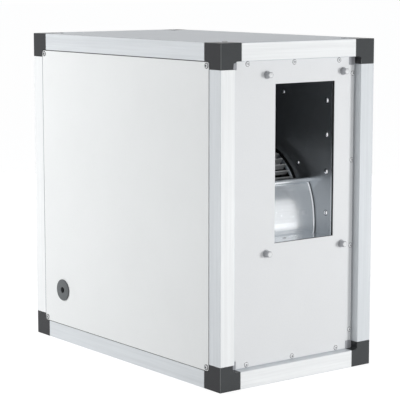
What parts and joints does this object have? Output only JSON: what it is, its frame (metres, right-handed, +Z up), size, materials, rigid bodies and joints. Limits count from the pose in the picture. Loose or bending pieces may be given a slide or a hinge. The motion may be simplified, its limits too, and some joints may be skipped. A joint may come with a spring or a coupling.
{
  "type": "rectangular duct fan",
  "caption": "Boxed centrifugal duct fan: profile-framed cabinet with a rectangular outlet and inlet, a direct-drive blower inside and a lift-off side access panel.",
  "frame": {"origin": "centre of the base, on the surface that the cabinet stands on", "axes": "+Z up, -Y towards the outlet panel, +X to the right seen from the outlet"},
  "size_m": [0.3384, 0.565, 0.5722],
  "materials": {
    "profile_aluminium": "extruded, satin",
    "black_nylon": "moulded, fine grain",
    "grey_foam": "closed-cell foam",
    "panel_sheet": "smooth coated sheet, light grey",
    "lining_foam": "acoustic foam",
    "rivet_aluminium": "drawn, bright",
    "zinc_screws": "zinc plated",
    "grey_rubber": "moulded rubber",
    "black_rubber": "moulded rubber",
    "galvanised_sheet": "galvanised, faint spangle",
    "blade_steel": "rolled strip",
    "black_steel": "black coated",
    "shaft_steel": "ground",
    "motor_paint": "dark grey paint",
    "cast_aluminium": "die cast",
    "copper_winding": "varnished copper and laminations",
    "grey_plastic": "moulded",
    "capacitor_plastic": "moulded can in a steel clip"
  },
  "bodies": {
    "cabinet": {"post_front_left": "profile_aluminium", "post_front_right": "profile_aluminium", "post_rear_left": "profile_aluminium", "post_rear_right": "profile_aluminium", "rail_bottom_front": "profile_aluminium", "rail_bottom_rear": "profile_aluminium", "rail_top_front": "profile_aluminium", "rail_top_rear": "profile_aluminium", "rail_bottom_left": "profile_aluminium", "rail_bottom_right": "profile_aluminium", "rail_top_left": "profile_aluminium", "rail_top_right": "profile_aluminium", "corner_block_1": "black_nylon", "corner_block_2": "black_nylon", "corner_block_3": "black_nylon", "corner_block_4": "black_nylon", "corner_block_5": "black_nylon", "corner_block_6": "black_nylon", "corner_block_7": "black_nylon", "corner_block_8": "black_nylon", "corner_pads": "grey_foam", "front_panel": "panel_sheet", "rear_panel": "panel_sheet", "bottom_panel": "panel_sheet", "top_panel": "panel_sheet", "right_panel": "panel_sheet", "panel_linings": "lining_foam", "sheet_rivets": "rivet_aluminium", "panel_screws": "zinc_screws", "outlet_bolts": "zinc_screws", "outlet_gasket": "black_rubber", "outlet_flange": "galvanised_sheet", "side_plate_left": "galvanised_sheet", "side_plate_right": "galvanised_sheet", "scroll_wrap": "galvanised_sheet", "cutoff_plate": "galvanised_sheet", "housing_rivets": "rivet_aluminium", "inlet_ring_left": "galvanised_sheet", "inlet_ring_right": "galvanised_sheet", "inlet_ring_bolts": "zinc_screws", "motor_shell": "motor_paint", "motor_end_shields": "cast_aluminium", "motor_stator": "copper_winding", "motor_bearings": "shaft_steel", "motor_arms": "galvanised_sheet", "rubber_isolators": "black_rubber", "terminal_box": "grey_plastic", "capacitor": "capacitor_plastic", "blower_feet": "galvanised_sheet", "cross_bearers": "galvanised_sheet"},
    "impeller": {"impeller_disc": "galvanised_sheet", "impeller_blades": "blade_steel", "impeller_end_rings": "black_steel", "motor_shaft": "shaft_steel", "motor_rotor": "shaft_steel"},
    "access_cover": {"access_panel": "panel_sheet", "access_lining": "lining_foam", "access_screws": "zinc_screws", "cable_grommet": "grey_rubber"}
  },
  "joints": [
    {"name": "impeller_spin", "type": "hinge", "parent": "cabinet", "child": "impeller", "pos_m": [0.025, -0.08901, 0.266], "axis": [1, 0, 0], "continuous": true},
    {"name": "access_cover_pull", "type": "slide", "parent": "cabinet", "child": "access_cover", "axis": [-1, 0, 0], "range_m": [0, 0.15]}
  ]
}
